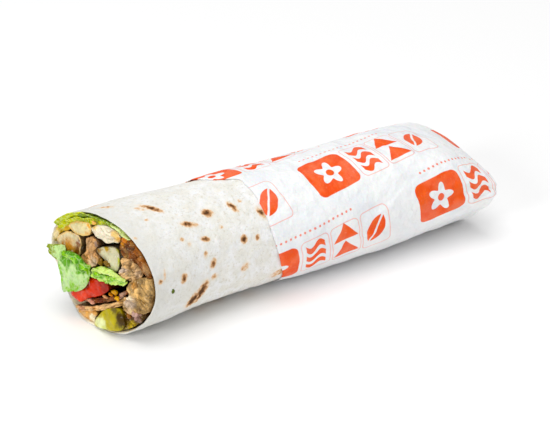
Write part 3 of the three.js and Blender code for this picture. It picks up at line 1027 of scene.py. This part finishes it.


def add_strand(shape, piece, outline, seed, core=None):
    """Adds a filling: its face follows the cut, with a rounded edge, and the same outline is
    carried back along the roll. core has the places that the outline shrinks to over the
    face; by default it is its middle."""
    slit = core is not None
    core = core if slit else outline.mean(0)
    away = outline - core
    radius = np.linalg.norm(away, axis=1) + 1e-9
    edge_at = np.minimum(piece.edge / radius, 0.5)
    turned, sunk = 1 - np.sin(EDGE_TURNS), 1 - np.cos(EDGE_TURNS)
    shares = np.concatenate([FACE_SHARES[:, None] * (1 - edge_at), 1 - edge_at * turned[:, None]])
    depths = np.concatenate([piece.dome * (FACE_SHARES**2 - 1), piece.edge * sunk])
    strength = np.concatenate([np.ones(len(FACE_SHARES)), 1 - 0.5 * sunk])
    flat = core + away * shares[..., None]
    front = seen(flat[..., 0], flat[..., 1], piece.out - depths[:, None])
    rise = piece.relief(front) * strength[:, None]
    front[..., 0] -= rise
    back = []
    for depth in BACK_STEPS:
        ring = front[-1].copy()
        swell = 0.25 * noise(ring + (depth, 0, 0), 4.0, 77)
        ring[:, 1:] += (away / radius[:, None]) * np.minimum(swell, 0)[:, None]
        ring[:, 0] = np.minimum(ring[:, 0] + depth, FILLING_END - 0.01 * len(back))
        back.append(ring)
    last = back[-1].copy()
    last[:, 0] = FILLING_END
    rings = np.concatenate([front, back, [last]])
    behind = rings[..., 0] - cut_at(rings[..., 1], rings[..., 2])
    spare = 0.1 - 0.7 * np.exp(-np.maximum(behind, 0) / 4)
    y, z = in_room(rings[..., 1], rings[..., 2], spare)

    face = len(front)
    where = np.concatenate([np.concatenate([front[..., :1], flat], -1), rings[face:]])
    tint = painted(where, piece.base, piece.patches, seed)
    if piece.crust:
        code, wide = piece.crust
        inward = radius * (1 - shares) + 0.5 * noise(where[:face], 1.6, seed)
        crusted = np.ones(tint.shape[:2])
        crusted[:face] = 1 - smoothstep(wide * 0.5, wide * 1.2, inward)
        tint = blend(tint, colour(code), crusted)
    # Painted shade: the sides behind the face turn brown and darker, less so where they lie against
    # the bread.
    half, waist, up, down = room_at(np.zeros(1))
    outward = np.hypot(y / half, (z - waist) / np.where(z > waist, up, down))
    hidden = 1 - 0.55 * smoothstep(0.86, 0.97, outward)
    hidden[:face] = 0
    tint = blend(tint, colour(SIDE_BROWN), 0.6 * hidden)
    shade = -0.5 * hidden
    shade[face + 1:] -= 0.32 * hidden[face + 1:]
    # Painted light on the face's bumps and painted shade in its dents.
    shade[:face] = piece.shade * np.tanh(rise / 0.6)
    tint = np.clip(tint * (1 + shade[..., None]), 0, 1)
    add_rings(shape, carry(rings[..., 0], y, z), tint, slit)


CHUNKS = (
    Filling(
        "potato_far_left", "potato", out=-0.8, base=0xE8C658, relief=mealy(1, 0.5),
        outline=((27.5, 35.4), (22, 39), (18.6, 38), (19.6, 35.8), (23.4, 33.6), (27, 29), (30, 29)),
        patches=((28, 31, 2.8, 0xF9E6B4), (22, 36.4, 1.8, 0xD2A030)),
    ),
    Filling(
        "potato_top", "potato", out=0.4, base=0xE4D6A6, crust=(0xF4CF8C, 1.2), relief=mealy(2),
        outline=(
            (19.8, 37.6), (17, 40.6), (12.5, 42.4), (8, 43.2), (6.6, 41.6), (7.2, 38.3), (11, 36.3),
            (15.5, 35.8),
        ),
        patches=((8, 42.6, 1.5, 0xE9A948), (8.6, 37.6, 1.5, 0xEBAE62)),
    ),
    Filling(
        "potato_left", "potato", out=-0.2, base=0xDED0A8, crust=(0xF2D196, 1.0), relief=mealy(3),
        outline=(
            (26.5, 29.5), (23, 33.6), (18.5, 35.6), (12.8, 35), (12.0, 30.8), (13.0, 25.5),
            (19.5, 23.8), (23, 26),
        ),
        patches=(
            (18.8, 27.2, 5.0, 0xBE7A00), (13.6, 28.2, 2.9, 0x74460C), (12.8, 32.4, 2.4, 0x96684A),
            (25.4, 31, 1.8, 0xF6DDAC),
        ),
    ),
    Filling(
        "potato_centre", "potato", out=-0.4, base=0xD3CEAC, relief=mealy(4),
        outline=(
            (4.4, 33.2), (1.2, 34.8), (-3, 36.6), (-8.4, 38), (-10.2, 36), (-10.6, 32), (-9.6, 28.4),
            (-5.6, 26.6), (-3.4, 27.4), (-4.4, 29.6), (-1, 30.6),
        ),
        patches=(
            (-3, 36.2, 2.0, 0xBD9C44), (-10.6, 32.5, 1.5, 0xC0C84C), (-9.8, 37.5, 1.6, 0xA8A02C),
            (1.6, 33.8, 1.6, 0xA98448),
        ),
    ),
    Filling(
        "chicken_top", "chicken", out=0.8, base=0xF4EAD2, relief=torn(15, 5, 0.5, 0.25), shade=0.12,
        outline=(
            (6.8, 41), (3.5, 43.8), (-1, 45.2), (-5, 45.4), (-9, 44.8), (-10.6, 43), (-9.2, 40.6),
            (-5.8, 39.4), (-2.5, 37.8), (0.6, 38.4), (4.2, 38.8),
        ),
        patches=((-7.4, 42.8, 2.8, 0xEBCB88), (-9.8, 42.4, 1.5, 0xD9A24A), (5.2, 42.2, 1.5, 0xF3D48C)),
    ),
    Filling(
        "meat_centre", "meat", out=1.0, base=0xD4A472, relief=torn(75, 6),
        outline=(
            (9.4, 35.6), (6.5, 37.6), (3, 37.2), (2.4, 35), (4, 32.5), (1.5, 29.5), (2.5, 27),
            (5.5, 24.4), (8.6, 24.4), (11.6, 25.6), (11, 28), (8.8, 30.8),
        ),
        patches=(
            (4.6, 26.6, 2.2, 0xE8CCAC), (8.4, 34, 1.6, 0xE0B688), (9.8, 27.4, 1.6, 0xB98650),
            (3.4, 35.4, 1.5, 0xA98A78),
        ),
    ),
    Filling(
        "meat_upper_right", "meat", out=0.8, base=0x864E24, relief=torn(25, 7, 1.1, 0.2),
        outline=(
            (-9.8, 40.4), (-12.5, 43), (-17, 44), (-21, 42.6), (-25.5, 38.4), (-28.6, 33), (-26.5, 31),
            (-22.6, 34), (-18.5, 35.4), (-14, 35.4), (-10.6, 36.6),
        ),
        # The lighter patch along its top edge, at (-17, 43), is a painted highlight.
        patches=(
            (-10.8, 40.8, 1.8, 0xC98426), (-15, 39.6, 2.6, 0x6C3C16), (-22, 39.5, 2.2, 0xA06C40),
            (-17, 43, 1.6, 0xB07C48), (-13.5, 37, 1.5, 0xC09258), (-26, 34.6, 2.8, 0xB88F64),
        ),
    ),
    Filling(
        "meat_middle_right", "meat", out=0.5, base=0xD8B07E, relief=torn(-35, 8, 1.1, 0.4), shade=0.55,
        outline=(
            (-11.8, 35), (-15, 36), (-19, 35.5), (-22.5, 34), (-24, 31.6), (-21, 28.4), (-17, 26.4),
            (-13.8, 26.4), (-11.4, 28), (-11.8, 31),
        ),
        patches=(
            (-12.8, 30, 1.9, 0xCDB8A4), (-20.6, 31.4, 2.2, 0xDAB894), (-16.6, 32.6, 1.8, 0x9A7040),
            (-15.4, 28.4, 1.5, 0xD6B684),
        ),
    ),
    Filling(
        "meat_lower_right", "meat", out=1.4, base=0xD4AE76, relief=torn(40, 9, 1.1, 0.42), shade=0.6,
        outline=(
            (-16, 25.5), (-20.5, 28.6), (-25.5, 31.4), (-28.6, 31), (-30.5, 27), (-30.5, 22),
            (-28, 17.4), (-24, 14.6), (-20.5, 13.6), (-17, 11.4), (-13.8, 13.4), (-14, 17.5),
            (-17, 20.6), (-15.6, 23),
        ),
        # The pale pink patch at (-16.4, 17.6) is partly the meat's own pale colour and partly a
        # painted highlight.
        patches=(
            (-16.4, 17.6, 3.4, 0xF8DCC0), (-17, 13.4, 2.0, 0xECC8A0), (-18.6, 25.6, 2.0, 0xB4824A),
            (-24.5, 27.5, 2.4, 0xD6AC72), (-30, 22.5, 2.2, 0x8C6C40), (-24, 20, 2.2, 0xBE965C),
        ),
    ),
    Filling(
        "tomato", "tomato", out=1.5, base=0xD22C00, relief=soft(10, 0.5, 4.0), shade=0.1,
        outline=(
            (6, 19.4), (0.5, 20.6), (-3.8, 21.2), (-5, 18.6), (-2.4, 15.4), (1.5, 12.6), (6.5, 10),
            (10.5, 6.8), (13.4, 6.8), (16.6, 9), (12, 12.6), (8.6, 15.4),
        ),
        # The dark red patch on its right, at (-3, 18.4), is painted shade.
        patches=((-3.0, 18.4, 3.6, 0x9C2410), (10.5, 9.6, 3.4, 0xF03C00)),
    ),
    Filling(
        "onion_bottom", "onion", out=0.6, base=0xDEB07A, relief=soft(11, 0.4, 2.0),
        outline=((12, 2.4), (8, 5), (4, 5.8), (0.5, 6), (1.5, 3), (2, 0.4), (6, -0.4), (10, 0.6)),
        patches=((3.4, 2, 2.2, 0xF6EACC), (9.6, 2.6, 1.6, 0xE3BC8C)),
    ),
    Filling(
        "meat_bottom_right", "meat", out=0.2, base=0x543812, relief=torn(30, 12, 0.8, 0.3),
        outline=(
            (-12.6, 13), (-18, 13.6), (-24.5, 15.8), (-27.4, 14), (-24, 8.6), (-18.5, 3.8), (-14.4, 2),
            (-12, 6),
        ),
        patches=(
            (-19.6, 7.2, 3.2, 0xC8AC3E), (-24, 11.2, 2.0, 0x8A7338), (-21.6, 13.0, 2.4, 0xC8A298),
            (-16.5, 4.4, 1.6, 0xB7A862),
        ),
    ),
    Filling(
        "pickle", "pickle", out=2.0, base=0xBCAC02, relief=soft(13, 0.35, 3.4), dome=1.4, shade=0.1,
        outline=(
            (-3.5, 8.8), (-8, 11.4), (-11.5, 12.4), (-14.2, 10.6), (-15.4, 7), (-13.4, 3.4),
            (-9.4, 0.4), (-4, -0.8), (1.2, -1), (2.2, 0.8), (0.5, 4), (-1.2, 6.6),
        ),
        patches=(
            (-1.4, 2, 3.5, 0xECF2BE), (-4.4, 0.2, 1.8, 0xE2E896), (-13.8, 8.0, 4.6, 0x463204),
            (-8.6, 11, 2.0, 0x6E5E0C),
        ),
    ),
)

SLICES = (
    Filling(
        "meat_slice_upper", "meat", out=0.8, thickness=2.0, base=0x8C5636,
        relief=torn(-28, 21, 0.7, 0.2), dome=0.3, edge=0.6,
        outline=((9, 8.6), (4, 10), (-1, 12), (-6, 14.4), (-10, 16.4), (-13.4, 19.4), (-16.4, 22.6)),
        # The pink patch at (5.6, 9.4) is a painted highlight.
        patches=(
            (5.6, 9.4, 1.8, 0xD99A86), (-0.6, 11.6, 1.8, 0x6E2E14), (-5, 13.8, 1.6, 0xB07A50),
            (-13, 19, 2.2, 0xB48E78),
        ),
    ),
    Filling(
        "meat_slice_lower", "meat", out=1.4, thickness=2.3, base=0xF0C48E,
        relief=torn(-27, 22, 0.6, 0.2), dome=0.3, edge=0.6,
        outline=((13.6, 3.6), (8, 4.6), (2.5, 7), (-3, 9.8), (-8.5, 12.6), (-12.6, 15.6), (-15, 18.4)),
        patches=(
            (10.5, 4.2, 2.2, 0xE8B08A), (3, 6.8, 1.6, 0xC89258), (-4.5, 10.6, 2.0, 0xE3BE8C),
            (-12.6, 15.6, 2.4, 0xC79C66),
        ),
    ),
)


def make_strand(piece, material, outline, seed, core=None):
    """Makes a piece that is one strand."""
    shape = Shape()
    add_strand(shape, piece, outline, seed, core)
    shape.make(piece.name + "_piece", material, piece.slot, piece.name)


def make_chunks(materials):
    for number, piece in enumerate(CHUNKS):
        rough = 0.5 if piece.slot == "meat" else 0.22
        outline = outline_through(piece.outline, rough, number)
        make_strand(piece, materials[piece.slot], outline, number)
    for number, piece in enumerate(SLICES):
        outline, middle = band_along(piece.outline, piece.thickness, number)
        make_strand(piece, materials[piece.slot], outline, number + 20, middle)


# ---- Lettuce ----

MINT, PALE, BRIGHT, YELLOW, OLIVE = 0xC4E49C, 0xC0E0A0, 0x62A808, 0xC8D22A, 0x8C9E00
LINED = (60, 80, 100, 120, 140, 150)  # where the leaf under the top of the rim runs, degrees
LINING_DEPTH = 14  # how far that leaf runs into the roll


def add_leaf(shape, net, ruffle, waves, seed, tints, thickness=0.5):
    """Adds a leaf through a net of places (y, z, out), from its root inside the roll to its
    rim. It is ruffled most at its rim, and its tints go from the root to the rim."""
    rows, columns = 90, 80
    v, u = np.linspace(0, 1, rows), np.linspace(0, 1, columns)
    surface = spline(np.swapaxes(spline(net, v), 0, 1), u)
    surface = np.swapaxes(surface, 0, 1)
    grid = seen(surface[..., 0], surface[..., 1], surface[..., 2])
    u, v = np.meshgrid(u, v)
    wide = np.linalg.norm(grid[-1, -1] - grid[-1, 0]) + 4
    flat = np.stack([u * wide, v * 16, 0 * u], -1)
    side = np.abs(2 * u - 1)
    rim = np.maximum(smoothstep(0.3, 1, v), smoothstep(0.5, 1, side) * smoothstep(0.1, 0.5, v))
    phase = waves * 2 * math.pi * u + 2.2 * noise(flat, 6, seed + 1) + seed
    height = ruffle * rim * np.sin(phase) + 0.55 * fractal(flat, 4.5, seed + 2, 4)
    down, across = np.gradient(grid, axis=0), np.gradient(grid, axis=1)
    normal = np.cross(across, down)
    normal /= np.linalg.norm(normal, axis=-1, keepdims=True)
    frill = 0.7 * noise(flat, 2.0, seed + 6) * smoothstep(0.8, 1, v)
    grid = grid + normal * height[..., None]
    grid = grid + down / np.linalg.norm(down, axis=-1, keepdims=True) * frill[..., None]
    shade = 0.6 * fractal(flat, 3.5, seed + 4, 3) + 0.15 * np.sin(phase)
    stops = [colour(code) for code in tints]
    at = np.clip(rim + shade, 0, 1) * (len(stops) - 1)
    tint = stops[0]
    for k, stop in enumerate(stops[1:]):
        tint = blend(tint, stop, smoothstep(0, 1, at - k))
    add_sheet(shape, grid, thickness * (1 - 0.4 * rim), tint)


def add_lining_leaf(shape, span, inset, out, seed, tints):
    """Adds a leaf that lines the bread's inside over a span of degrees. inset is how far it
    lies inside the bread at its front and then deeper in. out is how far its front stands out
    at the two ends of the span, where it also flares over the rim."""
    rows, columns = 30, 170
    share = np.linspace(0, 1, columns)
    angle = np.radians(span[0] + (span[1] - span[0]) * share)
    depth = np.linspace(0, 1, rows) ** 1.6
    angle, depth = np.meshgrid(angle, depth)
    share = np.broadcast_to(share, angle.shape)
    half, waist, up, down = (float(v[0]) for v in room_at(np.zeros(1)))
    arc = np.stack([angle * RADIUS, depth * LINING_DEPTH, 0 * angle], -1)
    front = 1 - smoothstep(0, 0.7, depth)
    taper = smoothstep(0, 0.08, share) * smoothstep(0, 0.06, 1 - share)
    wave = front * (0.45 * np.sin(angle * 17 + seed) + 0.9 * noise(arc, 4, seed))
    stands_out = (out[0] + (out[1] - out[0]) * share) * taper
    flare = 1.3 * smoothstep(0.9, 1.8, stands_out) * smoothstep(0.14, 0, depth)
    inwards = inset[0] + (inset[1] - inset[0]) * smoothstep(0, 0.4, depth) - flare
    inwards = inwards + taper * np.maximum(wave * 0.9 + 0.3, 0) * (1 - 0.6 * flare)
    y = -(half - inwards) * np.cos(angle)
    z = waist + (np.where(np.sin(angle) > 0, up, down) - inwards) * np.sin(angle)
    frill = 0.5 * noise(arc, 3, seed + 1) * taper
    x = cut_at(y, z) - stands_out - frill + depth * LINING_DEPTH
    grid = carry(x, y, z)
    shade = noise(arc, 3.6, seed + 2) + 0.4 * noise(arc, 1.4, seed + 3)
    tint = blend(colour(tints[0]), colour(tints[1]), smoothstep(-0.2, 0.4, shade))
    tint = blend(tint, colour(tints[2]), smoothstep(0.7, 1.1, front + shade * 0.4))
    add_sheet(shape, grid, 0.45 + 0 * depth, tint)


def leafy_strand(corners, out, base, rough, seed):
    """A shape that holds the rolled-up strand that a piece's leaves grow from."""
    shape = Shape()
    strand = Filling("strand", "lettuce", out, base, soft(31, 0.5))
    add_strand(shape, strand, outline_through(corners, rough, seed), 31)
    return shape


def make_left_lettuce(material):
    corners = ((24, 24), (15, 26.5), (7, 24), (7, 20), (14, 16.5), (22, 18))
    shape = leafy_strand(corners, -2.5, BRIGHT, 0.3, 31)
    net = (
        ((23, 24.5, -6), (15, 24.5, -6), (7.5, 22.5, -6)),
        ((25, 22.6, 1.2), (15, 24.4, 2.0), (6.2, 22.6, 1.0)),
        ((24.6, 16.5, 3.0), (15, 18.4, 4.2), (6.2, 19.6, 2.6)),
        ((22.8, 11.6, 3.2), (15.5, 13.0, 4.4), (8.4, 14.6, 2.8)),
        ((20.8, 7.8, 2.6), (17, 8.8, 3.2), (12.6, 10.8, 2.6)),
    )
    add_leaf(shape, net, 0.35, 1.4, 41, (BRIGHT, MINT, PALE, 0x8FCB3C), 0.6)
    net = (
        ((21, 26.6, -6), (14, 27, -6), (8, 25, -6)),
        ((22, 25.6, 1.4), (14.4, 26.4, 2.4), (6.4, 23.8, 1.4)),
        ((22.6, 23.4, 3.2), (15, 22.6, 5.0), (7.0, 20.6, 3.6)),
    )
    add_leaf(shape, net, 0.9, 3.2, 43, (BRIGHT, 0x4E9E08, 0x92CC30))
    net = (
        ((21.5, 28.4, 0.2), (21, 25.4, 0.8), (21.4, 22.2, 1.0)),
        ((25, 27.4, 1.8), (25, 24.6, 3.2), (25, 20.6, 2.8)),
        ((28.6, 26.2, 2.4), (28.6, 23.8, 3.2), (28.2, 20.8, 3.0)),
        ((31.8, 25.2, 2.4), (31.6, 23.6, 2.6), (30.8, 22.2, 2.4)),
    )
    add_leaf(shape, net, 0.25, 1.2, 47, (MINT, MINT, OLIVE, OLIVE))
    shape.make("lettuce_left_leaf", material, "lettuce", "lettuce_left")


def make_middle_lettuce(material):
    corners = ((4, 22.5), (-4, 24.5), (-12, 25), (-12.5, 23.6), (-4, 22), (3, 21))
    shape = leafy_strand(corners, -2, BRIGHT, 0.2, 32)
    net = (
        ((4, 24, -7), (-4, 25, -7), (-12, 24.5, -7)),
        ((5.4, 24.2, 0), (-4, 27.4, 0.6), (-14.4, 26.0, -0.4)),
        ((5.8, 22.2, 1.6), (-4, 24.6, 2.4), (-14.0, 25.0, 0.8)),
    )
    add_leaf(shape, net, 0.5, 1.6, 51, (0xA0C834, 0xCCE880, 0xDCF090))
    net = (
        ((5, 22, -7), (-4, 22.5, -7), (-12, 23, -7)),
        ((5.4, 22.4, 0.8), (-4, 24.2, 1.4), (-15.4, 25.4, 0)),
        ((5.6, 20.4, 1.8), (-3.5, 20.8, 2.4), (-13, 23.2, 1.0)),
    )
    add_leaf(shape, net, 0.6, 2.2, 53, (0xA0C834, 0x8CC814, 0x6CB008, 0xCCEA7C))
    shape.make("lettuce_middle_leaf", material, "lettuce", "lettuce_middle")


def make_top_lettuce(material):
    turn = np.radians(LINED)
    y, z = in_room(-40 * np.cos(turn), 25 + 40 * np.sin(turn))
    outer = np.stack([y, z], -1)
    inner = np.stack([0.88 * y, 25 + 0.86 * (z - 25)], -1)[::-1]
    shape = leafy_strand(np.concatenate([outer, inner]), -1, YELLOW, 0.1, 33)
    light, dark = (0xB4C41E, YELLOW, 0xD2D844), (0x98AC22, 0xACB828, 0x80981C)
    pale = (0xCEE084, 0xBAD458, 0xE4F0A8)
    add_lining_leaf(shape, (108, 152), (-0.25, 0.6), (1.8, 1.9), 61, light)
    add_lining_leaf(shape, (102, 153), (0.8, 3.4), (1.1, 1.3), 63, light)
    add_lining_leaf(shape, (74, 120), (-0.25, 1.2), (0.9, 1.4), 67, dark)
    add_lining_leaf(shape, (58, 82), (0.0, 1.2), (0.9, 1.1), 71, pale)
    shape.make("lettuce_top_leaf", material, "lettuce", "lettuce_top")


# ---- Small loose bits ----


def add_nugget(shape, centre, size, tint, seed):
    """Adds a small uneven lump. size has its half widths along X, Y and Z."""
    rings, count = 14, 20
    latitude = np.linspace(-math.pi / 2, math.pi / 2, rings + 2)[1:-1, None]
    longitude = np.arange(count) / count * 2 * math.pi
    x, y = np.cos(latitude) * np.cos(longitude), np.cos(latitude) * np.sin(longitude)
    ball = np.stack([x, y, np.sin(latitude) + 0 * longitude], -1)
    lump = 1 + 0.45 * fractal(ball, 1.1, seed, 2)[..., None]
    add_rings(shape, np.asarray(centre) + ball * lump * np.asarray(size), colour(tint))


# Crumbs at the cut: slot, place (y, z, out), half widths, colour.
CRUMBS = (
    ("onion", (-8.8, 18.6, 0.2), (1.2, 1.6, 1.2), 0xD0983C),
    ("onion", (-10.2, 16.4, 0.6), (1.0, 1.5, 1.0), 0xDDAC5C),
    ("onion", (-6.4, 16.8, 0.5), (0.9, 1.4, 0.7), 0xC98A52),
    ("onion", (-3.2, 14.6, 0.8), (0.8, 1.7, 0.6), 0xD2A27C),
    ("onion", (-12.4, 43.0, 0.8), (1.0, 2.0, 0.9), 0xC8741A),
    ("onion", (5.4, 44.2, 0.8), (0.8, 1.3, 0.7), 0xEEC080),
    ("meat", (0.6, 28.6, -0.8), (1.2, 1.9, 1.7), 0x8A6408),
    ("meat", (-3.0, 29.4, 0.0), (0.9, 2.1, 1.2), 0x7E5C08),
    ("meat", (-20.6, 13.4, 1.0), (1.2, 2.0, 1.3), 0xC8A498),
    ("meat", (-23.2, 12.0, 0.6), (1.0, 1.5, 1.2), 0x8A6C60),
    ("meat", (4.6, 9.2, 1.4), (0.8, 2.1, 0.8), 0xE2A890),
    ("meat", (-17.6, 11.4, 0.8), (0.9, 1.4, 1.0), 0x94602E),
)


def make_bits(materials):
    """Makes the crumbs at the cut, and a green speck on the bread."""
    for slot, name in (("onion", "onion_bits"), ("meat", "meat_crumbs")):
        shape = Shape()
        for seed, (kind, place_seen, size, code) in enumerate(CRUMBS):
            if kind == slot:
                add_nugget(shape, seen(*place_seen), size, code, 70 + seed)
        shape.make(name, materials[slot], slot)
    green = Shape()
    add_nugget(green, skin(16.2, math.radians(-3)), (0.8, 0.22, 1.0), 0x5C6A22, 90)
    green.make("herb_specks", materials["lettuce"], "lettuce")


# ---- Floor and light ----

FLOOR_REACH = 4  # metres each way
WORLD_LIGHT = 0.46
# Lights: name, where it stands and how wide it is in metres, watts. They shine at the origin.
LIGHTS = (("key", (-0.35, -0.1, 2.2), 1.8, 30.5), ("front", (-1.36, -0.5, 0.78), 0.4, 5.8))


def make_floor():
    mesh = bpy.data.meshes.new("floor")
    corners = [(x * FLOOR_REACH, y * FLOOR_REACH, 0) for x, y in ((-1, -1), (1, -1), (1, 1), (-1, 1))]
    mesh.from_pydata(corners, [], [(0, 1, 2, 3)])
    m = Material("floor", 0.9, 0.0)
    m.shader.inputs["Base Color"].default_value = (0.99, 0.99, 0.99, 1)
    mesh.materials.append(m.data)
    floor = bpy.data.objects.new("floor", mesh)
    bpy.context.scene.collection.objects.link(floor)


def make_light(name, at, size, watts):
    data = bpy.data.lights.new(name, "AREA")
    data.size, data.energy = size, watts
    light = bpy.data.objects.new(name, data)
    light.location = at
    light.rotation_euler = (-Vector(at)).to_track_quat("-Z", "Y").to_euler()
    bpy.context.scene.collection.objects.link(light)


def make_lights():
    world = bpy.data.worlds.new("studio")
    world.use_nodes = True
    background = world.node_tree.nodes["Background"]
    background.inputs["Color"].default_value = (1, 1, 1, 1)
    background.inputs["Strength"].default_value = WORLD_LIGHT
    bpy.context.scene.world = world
    for light in LIGHTS:
        make_light(*light)
    bpy.context.scene.view_settings.view_transform = "Standard"


make_camera()
make_floor()
make_lights()
make_bread()
make_paper()
food = {
    "meat": meat_material(),
    "chicken": potato_material("chicken"),
    "potato": potato_material("potato"),
    "lettuce": leaf_material(),
    "tomato": wet_material("tomato", 0.3, 1.2),
    "pickle": wet_material("pickle", 0.3, 1.2),
    "onion": wet_material("onion", 0.5, 0.8),
}
make_chunks(food)
make_left_lettuce(food["lettuce"])
make_middle_lettuce(food["lettuce"])
make_top_lettuce(food["lettuce"])
make_bits(food)
